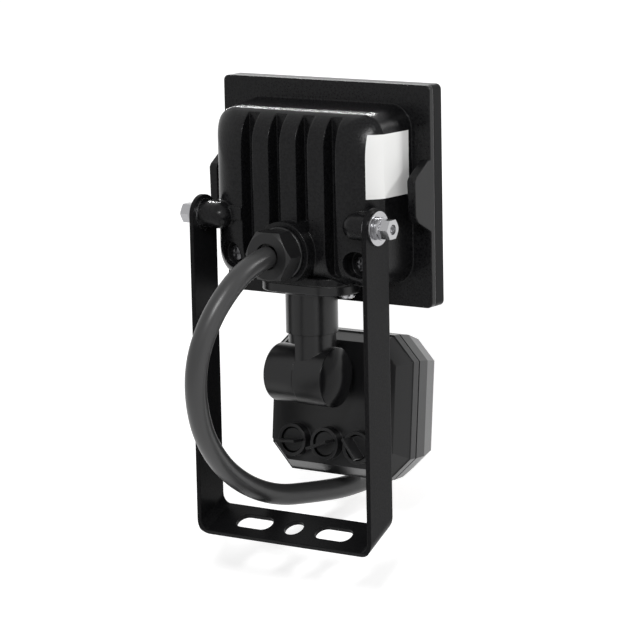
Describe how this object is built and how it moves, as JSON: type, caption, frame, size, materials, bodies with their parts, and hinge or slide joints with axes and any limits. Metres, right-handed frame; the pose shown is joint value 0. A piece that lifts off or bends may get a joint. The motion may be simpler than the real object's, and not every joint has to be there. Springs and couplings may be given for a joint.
{
  "type": "motion sensor floodlight",
  "caption": "Small black LED floodlight with a finned rear housing on a U bracket, a cable gland with a supply cable, and an adjustable motion sensor head under it.",
  "frame": {"origin": "centre of the bracket's middle hole, on the base plate's wall side", "axes": "+Z leaves the base plate on the lamp's side, X runs along the base plate and the pivot axis, and the light shines towards -Y and slightly -Z; the bracket's arms lean towards -Y"},
  "size_m": [0.1068, 0.141, 0.187],
  "materials": {
    "bracket_paint": "fine textured black powder coat",
    "housing_paint": "satin black powder coat",
    "frame_paint": "satin black powder coat",
    "clear_glass": "clear toughened glass",
    "grey_rubber": "matte silicone rubber",
    "reflector_metal": "bright anodised sheet",
    "circuit_board": "white solder mask",
    "light_source": "yellow phosphor",
    "driver_parts": "green board with dark parts",
    "terminal_plastic": "white plastic",
    "bright_steel": "zinc plated steel",
    "gland_plastic": "black nylon",
    "cord_rubber": "black rubber sheath",
    "core_copper": "coloured insulation over copper",
    "label_white": "blank white label",
    "sensor_plastic": "fine grained black plastic",
    "lens_plastic": "milky polyethylene"
  },
  "bodies": {
    "bracket": {"u_bracket": "bracket_paint"},
    "lamp_head": {"rear_housing": "housing_paint", "front_frame": "frame_paint", "front_glass": "clear_glass", "glass_gasket": "grey_rubber", "reflector": "reflector_metal", "led_board": "circuit_board", "led_chip": "light_source", "led_driver": "driver_parts", "terminal_block": "terminal_plastic", "housing_screws": "bright_steel", "gland_body": "gland_plastic", "gland_seal": "grey_rubber", "gland_nut": "gland_plastic", "supply_cord": "cord_rubber", "wire_ends": "core_copper", "pivot_bolt_left": "bright_steel", "pivot_bolt_right": "bright_steel", "inner_washers": "bright_steel", "flat_washers": "bright_steel", "spring_washers": "bright_steel", "blank_label": "label_white", "seat_gasket": "grey_rubber", "sensor_base": "sensor_plastic", "seat_screws": "bright_steel"},
    "swivel": {"elbow": "sensor_plastic", "knuckle_screw": "bright_steel", "dome_cap": "sensor_plastic"},
    "sensor": {"sensor_back_cover": "sensor_plastic", "sensor_front_cover": "sensor_plastic", "sensor_lens": "lens_plastic", "sensor_board": "driver_parts", "board_posts": "sensor_plastic", "pir_element": "bright_steel", "potentiometers": "driver_parts"},
    "knob_a": {"knob_light_level": "sensor_plastic"},
    "knob_b": {"knob_on_time": "sensor_plastic"},
    "knob_c": {"knob_sensitivity": "sensor_plastic"}
  },
  "joints": [
    {"name": "lamp_tilt", "type": "hinge", "parent": "bracket", "child": "lamp_head", "pos_m": [0, -0.06089, 0.1215], "axis": [1, 0, 0], "range_deg": [-90, 0]},
    {"name": "sensor_swivel", "type": "hinge", "parent": "lamp_head", "child": "swivel", "pos_m": [0, -0.07604, 0.11378], "axis": [0, -0.454, 0.891], "range_deg": [-30, 30]},
    {"name": "sensor_tilt", "type": "hinge", "parent": "swivel", "child": "sensor", "pos_m": [0, -0.04435, 0.05159], "axis": [1, 0, 0], "range_deg": [-10, 1]},
    {"name": "light_level_knob", "type": "hinge", "parent": "sensor", "child": "knob_a", "pos_m": [0.0182, -0.03717, 0.01893], "axis": [0, 0.8434, 0.5373], "range_deg": [-135, 135]},
    {"name": "on_time_knob", "type": "hinge", "parent": "sensor", "child": "knob_b", "pos_m": [0.0012, -0.03717, 0.01893], "axis": [0, 0.8434, 0.5373], "range_deg": [-135, 135]},
    {"name": "sensitivity_knob", "type": "hinge", "parent": "sensor", "child": "knob_c", "pos_m": [-0.0158, -0.03717, 0.01893], "axis": [0, 0.8434, 0.5373], "range_deg": [-135, 135]}
  ]
}
